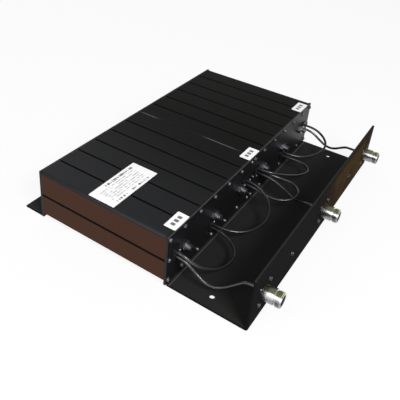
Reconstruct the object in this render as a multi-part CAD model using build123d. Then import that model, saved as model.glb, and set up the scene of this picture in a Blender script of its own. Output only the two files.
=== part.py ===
from build123d import *
import math
import os

# Six-cavity duplexer, in millimetres.
# X runs along the row of cavities from the low port to the high port, +Y runs from the
# front plates to the rear, and +Z is up. The origin is on the surface that the brackets
# stand on, below the middle of the front plates.

# Driving dimensions
cavity_pitch = 57.15
cavities_per_half = 3
body_height = 60.0
body_depth = 166.0
plate_thickness = 2.5
sheet_thickness = 2.0
shelf_depth = 88.4
jack_wall_height = 61.5
jack_spacing = 145.0
jack_height = 30.0
cable_diameter = 3.0

# Clearances
seam_gap = 0.3
running_clearance = 0.05
nut_face_gap = 0.1
screw_hole_clearance = 0.15
thread_clearance = 0.02
panel_hole_clearance = 0.2
cut_overshoot = 1.0
sheet_overlap = 1.0

# Housing extrusion
cell_width = 52.0
cell_floor = 6.5
cell_roof = 2.5
cell_corner_radius = 3.0
groove_depth = 1.2
top_corner_bevel = 2.6
bottom_corner_bevel = 5.5
seam_corner_bevel = 0.8
port_inset = 5.0
port_end_inset = 4.0
port_radius = 1.3
port_boss_radius = 3.4

# Plate screws
screw_shank_radius = 1.3
plate_screw_length = 9.0
screw_head_radius = 2.5
screw_head_height = 1.9
screw_head_top_radius = 1.8
recess_width = 0.8
recess_span = 3.0
recess_depth = 0.7
head_sides = 10

# Tuners
rod_radius = 3.15
rod_stand_out = 9.0
plunger_radius = 6.3
plunger_bore_radius = 5.3
plunger_cap = 8.0
plunger_start = 40.0
plunger_end = 140.0
resonator_radius = 8.0
resonator_length = 80.0
resonator_base = 10.0
nut_across_flats = 10.0
nut_thickness = 4.0
nut_bevel = 0.7
slot_width = 1.0
slot_depth = 1.2

# Coupling loops
loop_angles = (180, 270, 0, 180, 290, 348)
loop_radii = (15.4, 15.4, 15.4, 12.8, 14.0, 15.4)
outlet_spacing = 5.2
junction_link_outlet = (-9.8, 0.7)
junction_port_outlet = (-9.0, -4.6)
junction_onward_outlet = (-12.4, 3.4)
loop_plate_inner = 6.6
loop_plate_outer = 20.2
loop_plate_width = 15.0
loop_plate_thickness = 1.6
loop_plate_corner = 3.0
loop_boss_radius = 4.4
loop_boss_depth = 2.0
loop_wire_radius = 0.8
loop_wire_reach = 22.0

# Brackets
bracket_inset = 2.0
bend_radius = 3.5
wall_corner_radius = 3.0
flange_half_width = 150.0
flange_reach = 18.0
foot_reach = 27.0
mount_hole_radius = 2.75
mount_hole_x = 155.0
front_hole_y = -43.0
rear_hole_offset = 13.5
floor_screw_radius = 1.6
floor_screw_head_radius = 3.0
floor_screw_length = 7.5
floor_screw_hole_depth = 6.0

# Jacks
jack_flange_size = 25.4
jack_flange_thickness = 3.0
jack_hole_spacing = 18.2
thread_radius = 7.95
neck_radius = 6.9
jack_stand_out = 18.5
collar_length = 11.6
neck_length = 1.5
socket_radius = 4.1
socket_depth = 11.0
socket_mouth_radius = 5.6
socket_mouth_depth = 1.6
contact_radius = 1.6
contact_hole_radius = 0.8
contact_hole_depth = 4.0
contact_recess = 6.0
insulator_radius = 2.8
thread_bevel = 0.7
jack_flange_corner = 1.5
boot_radius = 3.6
boot_tip_radius = 2.4
boot_length = 4.9
wall_screw_length = 6.5
extra_wall_screw_x = 84.0

# Cables
arc_share = 0.45

# Labels
label_thickness = 0.15
port_label_length = 25.3
port_label_width = 13.2
port_label_edge = 0.9
port_label_x = (-147.0, 2.5, 149.0)
rating_label_length = 72.8
rating_label_width = 32.6
rating_label_x = -132.7
rating_label_y = 83.0
label_corner = 1.0

# Worked out from the driving dimensions
half_pitch_length = cavities_per_half * cavity_pitch
half_length = half_pitch_length - seam_gap
extrusion_depth = body_depth - 2 * plate_thickness
body_bottom = sheet_thickness
body_top = body_bottom + body_height
cell_height = body_height - cell_floor - cell_roof
tuner_height = body_bottom + cell_floor + cell_height / 2
top_port_z = body_top - port_inset
bottom_port_z = body_bottom + port_inset
middle_port_z = body_bottom + body_height / 2
bracket_length = 2 * half_pitch_length - 2 * bracket_inset
wall_outer_y = -shelf_depth
wall_inner_y = wall_outer_y + sheet_thickness
jack_face_y = wall_inner_y + jack_flange_thickness
boot_end_y = jack_face_y + boot_length
half_centres = (-half_pitch_length / 2, half_pitch_length / 2)
cavity_count = 2 * cavities_per_half
cavity_x = [(i + 0.5 - cavities_per_half) * cavity_pitch for i in range(cavity_count)]
rear_hole_y = body_depth + rear_hole_offset
jack_names = ("low", "antenna", "high")
jack_x = (-jack_spacing, 0.0, jack_spacing)

os.makedirs("parts", exist_ok=True)


def save(shape, name):
    """Write one node."""
    export_step(shape, "parts/" + name + ".step")


def cylinder_y(radius, start, end, x, z):
    """A cylinder along Y between two Y places."""
    middle = (start + end) / 2
    return Pos(x, middle, z) * Rot(90, 0, 0) * Cylinder(radius, abs(end - start))


def box_between(low, high):
    """A box from its two opposite corners."""
    size = [b - a for a, b in zip(low, high)]
    centre = [(a + b) / 2 for a, b in zip(low, high)]
    return Pos(*centre) * Box(*size)


def prism_y(face, start, depth):
    """Extrude a face drawn in X and Z from one Y place towards +Y."""
    upright = Plane(origin=(0, start, 0), x_dir=(1, 0, 0), z_dir=(0, -1, 0))
    return extrude(upright * face, -depth)


# Places of the screw ports

def port_places(centre):
    """X and Z of every screw port of one half: three rows, ends set in."""
    first = centre - half_length / 2 + port_end_inset
    last = centre + half_length / 2 - port_end_inset
    inner = [centre + (k - cavities_per_half) * cavity_pitch / 2 for k in range(1, 2 * cavities_per_half)]
    row = [first] + inner + [last]
    places = [(x, top_port_z) for x in row]
    places += [(x, bottom_port_z) for x in row]
    places += [(first, middle_port_z), (last, middle_port_z)]
    return places


# Housing

def housing_outline(centre, outer_side):
    """Outer section of one half, with bevelled corners and V grooves over the ports."""
    left = centre - half_length / 2
    right = centre + half_length / 2
    bevels = {"top": {}, "bottom": {}}
    for side in (-1, 1):
        outer = side == outer_side
        bevels["top"][side] = top_corner_bevel if outer else seam_corner_bevel
        bevels["bottom"][side] = bottom_corner_bevel if outer else seam_corner_bevel
    grooves = [x for x, z in port_places(centre) if z == top_port_z][1:-1]
    points = [(left + bevels["bottom"][-1], body_bottom)]
    for x in grooves:
        points += groove_below(x)
    points.append((right - bevels["bottom"][1], body_bottom))
    points.append((right, body_bottom + bevels["bottom"][1]))
    if outer_side > 0:
        points += groove_beside(right, -1)
    points.append((right, body_top - bevels["top"][1]))
    points.append((right - bevels["top"][1], body_top))
    for x in reversed(grooves):
        points += groove_above(x)
    points.append((left + bevels["top"][-1], body_top))
    points.append((left, body_top - bevels["top"][-1]))
    if outer_side < 0:
        points += groove_beside(left, 1)
    points.append((left, body_bottom + bevels["bottom"][-1]))
    return make_face(Polyline(*points, close=True))


def groove_below(x):
    """Three points of a V groove in the underside."""
    return [(x - groove_depth, body_bottom), (x, body_bottom + groove_depth), (x + groove_depth, body_bottom)]


def groove_above(x):
    """Three points of a V groove in the top."""
    return [(x + groove_depth, body_top), (x, body_top - groove_depth), (x - groove_depth, body_top)]


def groove_beside(x, inward):
    """Three points of a V groove along the middle of an end face."""
    step = -inward * groove_depth
    return [
        (x, middle_port_z - step),
        (x + inward * groove_depth, middle_port_z),
        (x, middle_port_z + step),
    ]


def cell_faces(centre):
    """The three square cells of one half."""
    faces = []
    for k in range(cavities_per_half):
        x = centre + (k - (cavities_per_half - 1) / 2) * cavity_pitch
        faces.append(Pos(x, tuner_height) * RectangleRounded(cell_width, cell_height, cell_corner_radius))
    return faces


def housing(centre, outer_side):
    """Extruded housing: outline less cells, with a bored boss at each screw port."""
    outline = housing_outline(centre, outer_side)
    section = outline
    for cell in cell_faces(centre):
        section = section - cell
    for x, z in port_places(centre):
        section = section + (outline & Pos(x, z) * Circle(port_boss_radius))
    for x, z in port_places(centre):
        section = section - Pos(x, z) * Circle(port_radius)
    body = prism_y(section, plate_thickness, extrusion_depth)
    for x in floor_screw_places():
        for rear in (False, True):
            hole_z = body_bottom + floor_screw_hole_depth / 2
            body -= Pos(x, floor_screw_y(rear), hole_z) * Cylinder(floor_screw_radius, floor_screw_hole_depth)
    return body


# Plates

def end_plate(centre, start):
    """Flat plate over one half, with a clearance hole at each screw port."""
    face = Pos(centre, body_bottom + body_height / 2) * Rectangle(half_length, body_height)
    for x, z in port_places(centre):
        face = face - Pos(x, z) * Circle(screw_shank_radius + screw_hole_clearance)
    return prism_y(face, start, plate_thickness)


def front_plate(centre, first_cavity):
    """Front plate: the end plate with a rod hole and a loop hole for each cavity."""
    plate = end_plate(centre, 0)
    hole_end = plate_thickness + cut_overshoot
    for i in range(first_cavity, first_cavity + cavities_per_half):
        plate -= cylinder_y(rod_radius + running_clearance, -cut_overshoot, hole_end, cavity_x[i], tuner_height)
        x, z = outlet_centre(i)
        plate -= cylinder_y(loop_boss_radius + panel_hole_clearance, -cut_overshoot, hole_end, x, z)
    return plate


def plate_screw(x, z, outward, recessed):
    """Pan-head screw. outward is -1 at the front plates and 1 at the rear plates."""
    face_y = 0 if outward < 0 else body_depth
    seat = Plane(origin=(x, face_y, z), x_dir=(1, 0, 0), z_dir=(0, outward, 0))
    foot = seat * RegularPolygon(screw_head_radius, head_sides)
    crown = seat * Pos(0, 0, screw_head_height) * RegularPolygon(screw_head_top_radius, head_sides)
    head = loft([foot, crown])
    if recessed:
        for turn in (0, 90):
            arm = Rot(0, 0, turn) * Box(recess_span, recess_width, 2 * recess_depth)
            head -= seat * Pos(0, 0, screw_head_height) * arm
    shank_end = face_y - outward * plate_screw_length
    shank = cylinder_y(screw_shank_radius - thread_clearance, face_y, shank_end, x, z)
    return head + shank


def plate_screws(outward, recessed):
    """All the screws of the front or of the rear plates."""
    screws = []
    for centre in half_centres:
        screws += [plate_screw(x, z, outward, recessed) for x, z in port_places(centre)]
    return Compound(children=screws)


# Tuners

def tuning_rod(x):
    """Threaded rod with the plunger that lengthens the resonator."""
    rod = cylinder_y(rod_radius, -rod_stand_out, plunger_start, x, tuner_height)
    rod += cylinder_y(plunger_radius, plunger_start, plunger_end, x, tuner_height)
    bore_start = plunger_start + plunger_cap
    rod -= cylinder_y(plunger_bore_radius, bore_start, plunger_end + cut_overshoot, x, tuner_height)
    slot_length = 2 * rod_radius + cut_overshoot
    slot = Pos(x, -rod_stand_out, tuner_height) * Box(slot_length, 2 * slot_depth, slot_width)
    return rod - slot


def lock_nut(x):
    """Hexagon nut on the rod, against the front plate."""
    face = RegularPolygon(nut_across_flats / 2, 6, major_radius=False)
    face -= Circle(rod_radius + running_clearance)
    blank = prism_y(Pos(x, tuner_height) * face, -nut_face_gap - nut_thickness, nut_thickness)
    reach = nut_across_flats / 2 / math.cos(math.pi / 6)
    outer = Plane(origin=(x, -nut_face_gap, tuner_height), x_dir=(1, 0, 0), z_dir=(0, -1, 0))
    rounding = extrude(outer * Circle(reach), nut_thickness)
    rim = rounding.edges().filter_by(GeomType.CIRCLE).sort_by(Axis.Y)[0]
    return blank & chamfer(rim, nut_bevel)


def resonator(x):
    """Fixed tube on the inner side of the front plate, bored for the plunger."""
    inner = plate_thickness + resonator_base
    end = plate_thickness + resonator_length
    tube = cylinder_y(resonator_radius, plate_thickness, end, x, tuner_height)
    tube -= cylinder_y(plunger_radius + running_clearance, inner, end + cut_overshoot, x, tuner_height)
    tube -= cylinder_y(rod_radius + running_clearance, 0, inner + cut_overshoot, x, tuner_height)
    return tube


# Coupling loops

def outlet_direction(i):
    """Unit step in X and Z from the tuner to the cable outlets of a cavity."""
    turn = math.radians(loop_angles[i])
    return math.cos(turn), math.sin(turn)


def outlet_centre(i):
    """X and Z of the point between the two outlets."""
    along = outlet_direction(i)
    return cavity_x[i] + loop_radii[i] * along[0], tuner_height + loop_radii[i] * along[1]


def outlets(i):
    """X and Z of the two outlets: (lower or left one, upper or right one)."""
    x, z = outlet_centre(i)
    along = outlet_direction(i)
    across = (abs(along[1]) * outlet_spacing / 2, abs(along[0]) * outlet_spacing / 2)
    return (x - across[0], z - across[1]), (x + across[0], z + across[1])


def junction_outlet(offset):
    """X and Z of one of the three cable outlets where both halves join."""
    return cavity_x[cavities_per_half] + offset[0], tuner_height + offset[1]


def coupling_loop(i):
    """Outlet plate, its boss through the front plate and the wire loop in the cell."""
    x, z = outlet_centre(i)
    along = outlet_direction(i)
    middle = (loop_plate_inner + loop_plate_outer) / 2
    reach = loop_plate_outer - loop_plate_inner
    turned = Rot(0, 0, loop_angles[i])
    face = turned * RectangleRounded(reach, loop_plate_width, loop_plate_corner)
    place = Pos(cavity_x[i] + middle * along[0], tuner_height + middle * along[1])
    body = prism_y(place * face, -loop_plate_thickness, loop_plate_thickness)
    boss_end = plate_thickness + loop_boss_depth
    body += cylinder_y(loop_boss_radius, 0, boss_end, x, z)
    bend_y = loop_wire_reach
    half = outlet_spacing / 2
    (x1, z1), (x2, z2) = outlets(i)
    start = Vector(x1, loop_boss_depth, z1)
    turn_in = Vector(x1, bend_y, z1)
    crown = Vector(x, bend_y + half, z)
    turn_out = Vector(x2, bend_y, z2)
    finish = Vector(x2, loop_boss_depth, z2)
    path = Wire([Line(start, turn_in), ThreePointArc(turn_in, crown, turn_out), Line(turn_out, finish)])
    section = Plane(origin=start, z_dir=(0, 1, 0)) * Circle(loop_wire_radius)
    return body + sweep(section, path=path)


# Brackets

def floor_screw_places():
    """X of the screws into the housing floors, between the rows of screw ports."""
    offset = 0.75 * cavity_pitch
    return [centre + side * offset for centre in half_centres for side in (-1, 1)]


def floor_screw_y(rear):
    """Y of the screws into the housing floors."""
    return body_depth - flange_reach / 2 if rear else flange_reach / 2


def add_flange(sheet, rear):
    """Flange that reaches under the housings, with countersunk holes."""
    low_y = body_depth - flange_reach if rear else -sheet_overlap
    high_y = body_depth + sheet_overlap if rear else flange_reach
    y = floor_screw_y(rear)
    cone_height = floor_screw_head_radius - floor_screw_radius
    wide = floor_screw_head_radius + screw_hole_clearance
    narrow = floor_screw_radius + screw_hole_clearance
    sheet += box_between((-flange_half_width, low_y, 0), (flange_half_width, high_y, sheet_thickness))
    for x in floor_screw_places():
        sheet -= Pos(x, y, cone_height / 2) * Cone(wide, narrow, cone_height)
        sheet -= Pos(x, y, sheet_thickness / 2) * Cylinder(narrow, 2 * sheet_thickness)
    return sheet


def port_bracket():
    """Folded sheet: shelf in front of the housings and turned-up wall for the jacks."""
    bend_y = wall_outer_y + bend_radius
    profile = Plane(origin=(-bracket_length / 2, 0, 0), x_dir=(0, 1, 0), z_dir=(1, 0, 0))
    edges = [
        Line((0, 0), (bend_y, 0)),
        CenterArc((bend_y, bend_radius), bend_radius, 180, 90),
        Line((wall_outer_y, bend_radius), (wall_outer_y, jack_wall_height)),
        Line((wall_outer_y, jack_wall_height), (wall_inner_y, jack_wall_height)),
        Line((wall_inner_y, jack_wall_height), (wall_inner_y, bend_radius)),
        CenterArc((bend_y, bend_radius), bend_radius - sheet_thickness, 180, 90),
        Line((bend_y, sheet_thickness), (0, sheet_thickness)),
        Line((0, sheet_thickness), (0, 0)),
    ]
    sheet = extrude(profile * make_face(edges), bracket_length)
    corners = sheet.edges().filter_by(Axis.Y).group_by(Axis.Z)[-1]
    sheet = fillet(corners, wall_corner_radius)
    sheet = add_flange(sheet, False)
    for side in (-1, 1):
        sheet -= Pos(side * mount_hole_x, front_hole_y, 0) * Cylinder(mount_hole_radius, 4 * sheet_thickness)
    outside = wall_outer_y - cut_overshoot
    inside = wall_inner_y + cut_overshoot
    for x in jack_x:
        barrel_hole = thread_radius + panel_hole_clearance
        sheet -= cylinder_y(barrel_hole, outside, inside, x, jack_height)
    for x, z in wall_screw_places():
        hole = screw_shank_radius + screw_hole_clearance
        sheet -= cylinder_y(hole, outside, inside, x, z)
    return sheet


def rear_foot():
    """Flat sheet foot behind and below the rear plates."""
    half = bracket_length / 2
    foot = box_between((-half, body_depth, 0), (half, body_depth + foot_reach, sheet_thickness))
    foot = add_flange(foot, True)
    for side in (-1, 1):
        foot -= Pos(side * mount_hole_x, rear_hole_y, 0) * Cylinder(mount_hole_radius, 4 * sheet_thickness)
    return foot


def bracket_screws():
    """Countersunk screws up through the flanges into the housing floors."""
    cone_height = floor_screw_head_radius - floor_screw_radius
    screws = []
    for rear in (False, True):
        for x in floor_screw_places():
            y = floor_screw_y(rear)
            head = Cone(floor_screw_head_radius, floor_screw_radius - thread_clearance, cone_height)
            screw = Pos(x, y, cone_height / 2) * head
            shank = Cylinder(floor_screw_radius - thread_clearance, floor_screw_length)
            screw += Pos(x, y, floor_screw_length / 2) * shank
            screw -= Pos(x, y, 0) * Box(floor_screw_head_radius, recess_width, 2 * recess_depth)
            screws.append(screw)
    return Compound(children=screws)


# Jacks

def wall_screw_places():
    """X and Z of the screws in the jack wall: four for each jack and two between jacks."""
    half = jack_hole_spacing / 2
    places = [(x + a * half, jack_height + b * half) for x in jack_x for a in (-1, 1) for b in (-1, 1)]
    return places + [(-extra_wall_screw_x, jack_height), (extra_wall_screw_x, jack_height)]


def wall_screws():
    """Screws of the jack wall, heads outside."""
    screws = []
    for x, z in wall_screw_places():
        seat = Plane(origin=(x, wall_outer_y, z), x_dir=(1, 0, 0), z_dir=(0, -1, 0))
        foot = seat * RegularPolygon(screw_head_radius, head_sides)
        crown = seat * Pos(0, 0, screw_head_height) * RegularPolygon(screw_head_top_radius, head_sides)
        head = loft([foot, crown])
        for turn in (0, 90):
            arm = Rot(0, 0, turn) * Box(recess_span, recess_width, 2 * recess_depth)
            head -= seat * Pos(0, 0, screw_head_height) * arm
        shank_end = wall_outer_y + wall_screw_length
        head += cylinder_y(screw_shank_radius - thread_clearance, wall_outer_y, shank_end, x, z)
        screws.append(head)
    return Compound(children=screws)


def port_jack(x):
    """Turned jack body: square flange behind the wall, collar, neck and threaded nose."""
    nose_y = wall_outer_y - jack_stand_out
    collar_end = wall_outer_y - collar_length
    neck_end = collar_end - neck_length
    outline = [
        (0, wall_inner_y),
        (thread_radius, wall_inner_y),
        (thread_radius, collar_end),
        (neck_radius, collar_end),
        (neck_radius, neck_end),
        (thread_radius - thread_bevel, neck_end),
        (thread_radius, neck_end - thread_bevel),
        (thread_radius, nose_y + thread_bevel),
        (thread_radius - thread_bevel, nose_y),
        (socket_mouth_radius, nose_y),
        (socket_mouth_radius, nose_y + socket_mouth_depth),
        (socket_radius, nose_y + socket_mouth_depth),
        (socket_radius, nose_y + socket_depth),
        (0, nose_y + socket_depth),
    ]
    half_section = Plane.XY * make_face(Polyline(*outline, close=True))
    barrel = Pos(x, 0, jack_height) * revolve(half_section, Axis.Y)
    flange_face = Pos(x, jack_height) * RectangleRounded(jack_flange_size, jack_flange_size, jack_flange_corner)
    body = barrel + prism_y(flange_face, wall_inner_y, jack_flange_thickness)
    back = jack_face_y + cut_overshoot
    for a in (-1, 1):
        for b in (-1, 1):
            half = jack_hole_spacing / 2
            hole = screw_shank_radius + screw_hole_clearance
            body -= cylinder_y(hole, wall_inner_y - cut_overshoot, back, x + a * half, jack_height + b * half)
    return body - cylinder_y(insulator_radius, nose_y + socket_depth - cut_overshoot, back, x, jack_height)


def jack_insulator(x):
    """White bead that holds the centre contact in the jack body."""
    start = wall_outer_y - jack_stand_out + socket_depth
    bead = cylinder_y(insulator_radius, start, jack_face_y, x, jack_height)
    return bead - cylinder_y(contact_radius, start - cut_overshoot, jack_face_y + cut_overshoot, x, jack_height)


def jack_contact(x):
    """Centre contact: a socket pin with its hole open to the front."""
    nose_y = wall_outer_y - jack_stand_out
    pin = cylinder_y(contact_radius, nose_y + contact_recess, jack_face_y, x, jack_height)
    hole_end = nose_y + contact_recess + contact_hole_depth
    return pin - cylinder_y(contact_hole_radius, nose_y, hole_end, x, jack_height)


def cable_boot(x):
    """Tapered black boot behind the jack."""
    seat = Plane(origin=(x, jack_face_y, jack_height), x_dir=(1, 0, 0), z_dir=(0, 1, 0))
    return seat * Pos(0, 0, boot_length / 2) * Cone(boot_radius, boot_tip_radius, boot_length)


# Cables

def cable(name, points):
    """A cable along straight runs and tangent arcs, the arcs as large as the runs allow."""
    corners = [Vector(*p) for p in points]
    runs = [b - a for a, b in zip(corners, corners[1:])]
    radii = []
    for before, after in zip(runs, runs[1:]):
        turn = math.radians(before.get_angle(after))
        radii.append(arc_share * min(before.length, after.length) / math.tan(turn / 2))
    path = FilletPolyline(*corners, radius=radii)
    print(name, "length", round(path.length, 1), "radii", [round(r, 1) for r in radii])
    section = Plane(origin=corners[0], z_dir=runs[0]) * Circle(cable_diameter / 2)
    tube = sweep(section, path=path)
    exact = math.pi * (cable_diameter / 2) ** 2 * path.length
    print(name, "volume", round(tube.volume, 1), "section times length", round(exact, 1))
    return tube


def at_outlet(place):
    """End point of a cable on an outlet plate."""
    return place[0], -loop_plate_thickness, place[1]


def clear_of(place, y):
    """Point straight out of an outlet, where a cable may start to bend."""
    return place[0], y, place[1]


def at_jack(index):
    """End point of a cable on a boot."""
    return jack_x[index], boot_end_y, jack_height


low_port_route = [
    at_outlet(outlets(0)[0]),
    clear_of(outlets(0)[0], -9.2),
    (-156.5, -17.2, 25.6),
    (-155.2, -25.5, 18.3),
    (-155.2, -34.0, 13.2),
    (-153.2, -42.3, 11.6),
    (-150.8, -49.2, 13.6),
    (-148.4, -56.0, 18.0),
    (-146.4, -63.0, 23.8),
    (-145.0, -70.3, 30.0),
    at_jack(0),
]

link_1_route = [
    at_outlet(outlets(0)[1]),
    clear_of(outlets(0)[1], -9.0),
    (-155.9, -17.8, 30.4),
    (-149.6, -26.4, 23.0),
    (-139.5, -33.6, 17.4),
    (-127.7, -38.6, 14.6),
    (-115.0, -40.4, 13.6),
    (-103.2, -37.8, 13.8),
    (-94.2, -30.0, 14.6),
    (-89.3, -20.0, 16.4),
    clear_of(outlets(1)[0], -10.5),
    at_outlet(outlets(1)[0]),
]

link_2_route = [
    at_outlet(outlets(1)[1]),
    clear_of(outlets(1)[1], -11.0),
    (-79.4, -21.5, 17.4),
    (-71.2, -31.0, 16.2),
    (-58.4, -38.6, 16.0),
    (-43.4, -42.6, 18.0),
    (-29.9, -40.2, 23.0),
    (-20.4, -33.0, 28.0),
    (-15.0, -22.5, 32.8),
    clear_of(outlets(2)[1], -11.0),
    at_outlet(outlets(2)[1]),
]

link_3_route = [
    at_outlet(outlets(2)[0]),
    clear_of(outlets(2)[0], -10.0),
    (-11.6, -20.5, 27.4),
    (-10.0, -32.0, 24.8),
    (-6.4, -43.5, 24.6),
    (2.0, -52.5, 25.4),
    (14.0, -55.0, 26.0),
    (24.6, -48.8, 26.8),
    (28.8, -37.5, 27.8),
    (27.4, -27.3, 28.4),
    (23.4, -17.6, 30.6),
    clear_of(junction_outlet(junction_link_outlet), -9.0),
    at_outlet(junction_outlet(junction_link_outlet)),
]

antenna_port_route = [
    at_outlet(junction_outlet(junction_port_outlet)),
    clear_of(junction_outlet(junction_port_outlet), -9.0),
    (21.2, -18.0, 26.6),
    (21.8, -27.0, 23.4),
    (20.2, -36.0, 20.2),
    (15.6, -44.6, 18.8),
    (9.8, -52.6, 20.2),
    (4.6, -61.0, 24.6),
    (0.0, -70.6, 30.0),
    at_jack(1),
]

link_4_route = [
    at_outlet(junction_outlet(junction_onward_outlet)),
    clear_of(junction_outlet(junction_onward_outlet), -8.4),
    (18.6, -16.2, 36.8),
    (25.0, -23.0, 34.0),
    (34.2, -28.2, 29.8),
    (45.4, -32.4, 25.0),
    (57.6, -36.9, 20.6),
    (70.0, -40.6, 17.6),
    (81.6, -41.0, 16.2),
    (89.8, -35.0, 16.4),
    (91.8, -25.6, 17.4),
    (89.6, -16.4, 19.0),
    clear_of(outlets(4)[0], -8.8),
    at_outlet(outlets(4)[0]),
]

link_5_route = [
    at_outlet(outlets(4)[1]),
    clear_of(outlets(4)[1], -8.4),
    (96.4, -16.4, 20.2),
    (102.2, -24.4, 19.0),
    (110.8, -31.4, 18.6),
    (121.8, -37.2, 19.3),
    (133.6, -40.6, 21.2),
    (144.4, -39.4, 24.4),
    (152.0, -33.0, 27.8),
    (156.2, -25.0, 30.6),
    (158.3, -17.0, 32.4),
    clear_of(outlets(5)[1], -9.0),
    at_outlet(outlets(5)[1]),
]

high_port_route = [
    at_outlet(outlets(5)[0]),
    clear_of(outlets(5)[0], -8.8),
    (159.0, -17.4, 24.2),
    (158.6, -26.2, 18.6),
    (156.6, -34.6, 15.2),
    (154.4, -42.8, 14.9),
    (152.6, -50.6, 18.0),
    (151.2, -58.0, 23.2),
    (148.8, -64.6, 27.8),
    (145.0, -71.2, 30.0),
    at_jack(2),
]

cable_routes = {
    "low_port_cable": low_port_route,
    "link_cable_1": link_1_route,
    "link_cable_2": link_2_route,
    "link_cable_3": link_3_route,
    "antenna_port_cable": antenna_port_route,
    "link_cable_4": link_4_route,
    "link_cable_5": link_5_route,
    "high_port_cable": high_port_route,
}


# Labels

def label(x, y, length, width):
    """A thin label on top of the housings."""
    face = Pos(x, y, body_top) * RectangleRounded(length, width, label_corner)
    return extrude(face, label_thickness)


def port_labels():
    """Three port labels along the front edge."""
    y = port_label_edge + port_label_width / 2
    return Compound(children=[label(x, y, port_label_length, port_label_width) for x in port_label_x])


halves = (("low", half_centres[0], -1, 0), ("high", half_centres[1], 1, cavities_per_half))
for half_name, half_centre, outer_end, first in halves:
    save(housing(half_centre, outer_end), half_name + "_cavity_housing")
    save(front_plate(half_centre, first), half_name + "_front_plate")
    save(end_plate(half_centre, body_depth - plate_thickness), half_name + "_rear_plate")

save(plate_screws(-1, True), "front_plate_screws")
save(plate_screws(1, False), "rear_plate_screws")
save(port_bracket(), "port_bracket")
save(rear_foot(), "rear_foot")
save(bracket_screws(), "bracket_screws")
save(wall_screws(), "wall_screws")

for number, centre_x in enumerate(cavity_x, start=1):
    save(tuning_rod(centre_x), "tuning_rod_" + str(number))
    save(lock_nut(centre_x), "lock_nut_" + str(number))
    save(resonator(centre_x), "resonator_" + str(number))
    save(coupling_loop(number - 1), "coupling_loop_" + str(number))

for jack_name, centre_x in zip(jack_names, jack_x):
    save(port_jack(centre_x), jack_name + "_port_jack")
    save(jack_insulator(centre_x), jack_name + "_jack_insulator")
    save(jack_contact(centre_x), jack_name + "_jack_contact")
    save(cable_boot(centre_x), jack_name + "_cable_boot")

for cable_name, route in cable_routes.items():
    save(cable(cable_name, route), cable_name)

save(port_labels(), "port_labels")
save(label(rating_label_x, rating_label_y, rating_label_length, rating_label_width), "rating_label")
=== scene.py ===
import math

import bmesh
import bpy
from bpy.props import FloatProperty, FloatVectorProperty, IntProperty, PointerProperty
from mathutils import Matrix, Vector


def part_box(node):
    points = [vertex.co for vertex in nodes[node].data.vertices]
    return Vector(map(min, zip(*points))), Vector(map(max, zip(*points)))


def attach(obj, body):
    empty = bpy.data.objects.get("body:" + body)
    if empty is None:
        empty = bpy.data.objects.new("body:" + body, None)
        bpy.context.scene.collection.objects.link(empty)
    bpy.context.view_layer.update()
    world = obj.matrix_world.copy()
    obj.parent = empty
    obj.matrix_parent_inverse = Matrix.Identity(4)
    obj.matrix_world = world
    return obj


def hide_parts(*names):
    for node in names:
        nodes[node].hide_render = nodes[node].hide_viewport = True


bl_info = {
    "name": "Six-cavity duplexer",
    "version": (1, 0, 0),
    "blender": (4, 5, 0),
    "location": "3D view > Sidebar > Duplexer",
    "description": "Dresses the packed duplexer: cables, jacks, loop screws, finishes and studio",
    "category": "Object",
}

# Metres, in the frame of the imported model: X along the row of cavities, Y to the rear, Z up
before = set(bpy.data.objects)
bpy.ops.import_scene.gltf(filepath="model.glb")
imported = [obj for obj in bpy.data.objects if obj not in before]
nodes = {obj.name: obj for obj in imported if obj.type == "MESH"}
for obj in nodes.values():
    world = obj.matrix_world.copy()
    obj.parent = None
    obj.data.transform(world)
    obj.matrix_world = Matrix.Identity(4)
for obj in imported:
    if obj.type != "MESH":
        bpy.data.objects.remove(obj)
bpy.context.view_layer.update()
body = "duplexer"
mm = 0.001

cavity_count = 6
cavity_pitch = 57.15 * mm
tuner_height = 34.0 * mm
jack_height = 30.0 * mm
loop_face_y = -1.6 * mm
sheet_thickness = 2.0 * mm
jack_names = ("low", "antenna", "high")


# Cable routes in millimetres, each from an outlet plate to another or to a jack

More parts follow.
